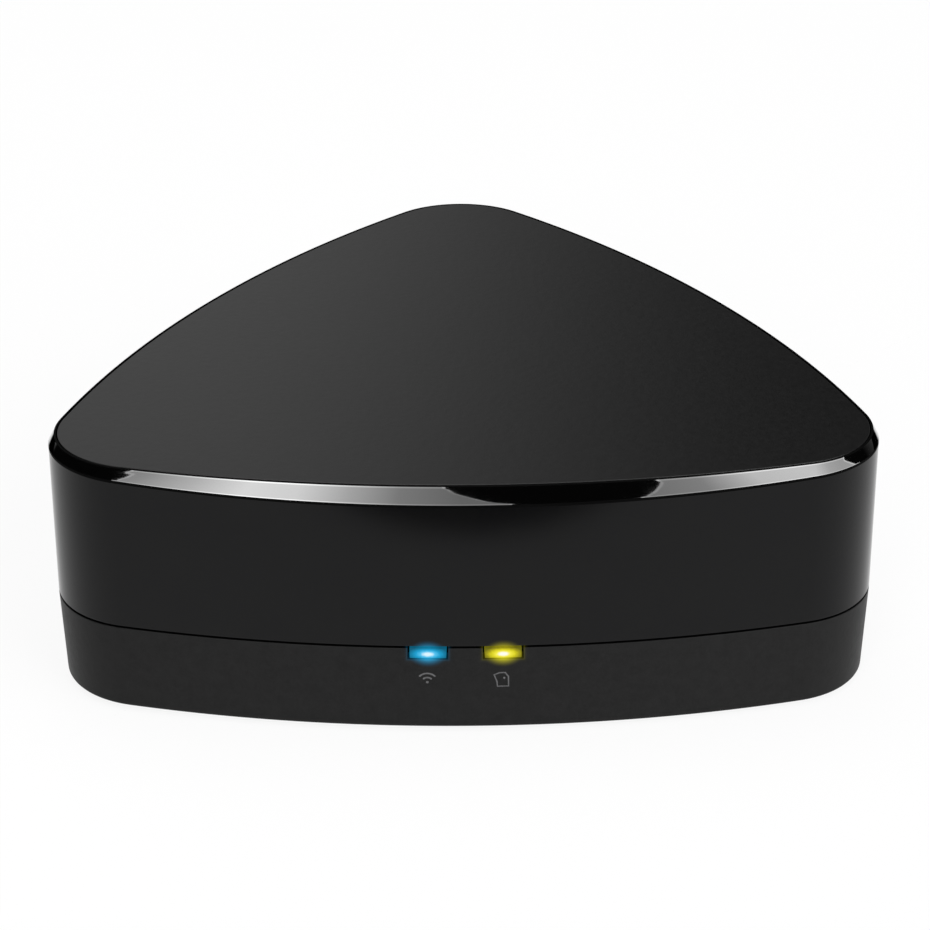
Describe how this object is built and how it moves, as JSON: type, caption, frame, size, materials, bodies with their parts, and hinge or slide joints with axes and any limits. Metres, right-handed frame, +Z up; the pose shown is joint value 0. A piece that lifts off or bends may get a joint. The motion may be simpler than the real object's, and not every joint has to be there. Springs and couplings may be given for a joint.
{
  "type": "infrared remote control blaster",
  "caption": "Rounded-triangle tabletop infrared controller: matte top plate, polished chamfer, window band over a tapered base with lit windows, power inlet and reset pinhole.",
  "frame": {"origin": "middle of the footprint, on the plane that the rubber feet stand on", "axes": "+Z up through the top plate; the long side with the two lit windows faces -Y; the corner with the power inlet points to +Y; +X to the right seen from the front"},
  "size_m": [0.12, 0.1138, 0.0393],
  "materials": {
    "matte_panel": "fine matte texture",
    "adhesive": "double-sided tape",
    "window_band": "satin band, polished chamfer",
    "textured_base": "finely textured",
    "blue_window": "clear, lit blue",
    "yellow_window": "clear, lit yellow",
    "lamp_body": "clear resin",
    "board_laminate": "green solder mask",
    "radio_laminate": "dark green solder mask",
    "emitter_lens": "tinted clear epoxy",
    "dark_moulding": "moulded",
    "chip_moulding": "moulded epoxy",
    "metal_can": "satin can",
    "copper_wire": "enamelled wire",
    "socket_steel": "plated sheet",
    "plunger_plastic": "moulded",
    "foot_rubber": "soft rubber",
    "screw_steel": "zinc plated"
  },
  "bodies": {
    "housing": {"top_panel": "matte_panel", "panel_adhesive": "adhesive", "upper_shell": "window_band", "base_shell": "textured_base", "network_light_guide": "blue_window", "status_light_guide": "yellow_window", "network_lamp": "lamp_body", "status_lamp": "lamp_body", "circuit_board": "board_laminate", "ir_emitter_front_left": "emitter_lens", "ir_emitter_front_right": "emitter_lens", "ir_emitter_left_front": "emitter_lens", "ir_emitter_left_rear": "emitter_lens", "ir_emitter_right_front": "emitter_lens", "ir_emitter_right_rear": "emitter_lens", "ir_receiver": "dark_moulding", "main_chip": "chip_moulding", "memory_chip": "chip_moulding", "clock_crystal": "metal_can", "radio_board": "radio_laminate", "radio_chip": "chip_moulding", "radio_shield": "metal_can", "remote_radio_chip": "chip_moulding", "remote_radio_crystal": "metal_can", "coil_antenna": "copper_wire", "voltage_regulator": "chip_moulding", "capacitors": "metal_can", "driver_transistors": "chip_moulding", "chip_resistors": "chip_moulding", "temperature_sensor": "chip_moulding", "power_socket": "socket_steel", "socket_insert": "dark_moulding", "switch_body": "dark_moulding", "switch_cover": "socket_steel", "switch_dome": "socket_steel", "foot_rear": "foot_rubber", "foot_left": "foot_rubber", "foot_right": "foot_rubber", "case_screws": "screw_steel", "board_screws": "screw_steel"},
    "reset_plunger": {"switch_plunger": "plunger_plastic"}
  },
  "joints": [
    {"name": "reset_press", "type": "slide", "parent": "housing", "child": "reset_plunger", "axis": [0, 0, 1], "range_m": [0, 0.00025], "stiffness_N_per_m": 4000, "deforming": ["switch_dome"]}
  ]
}
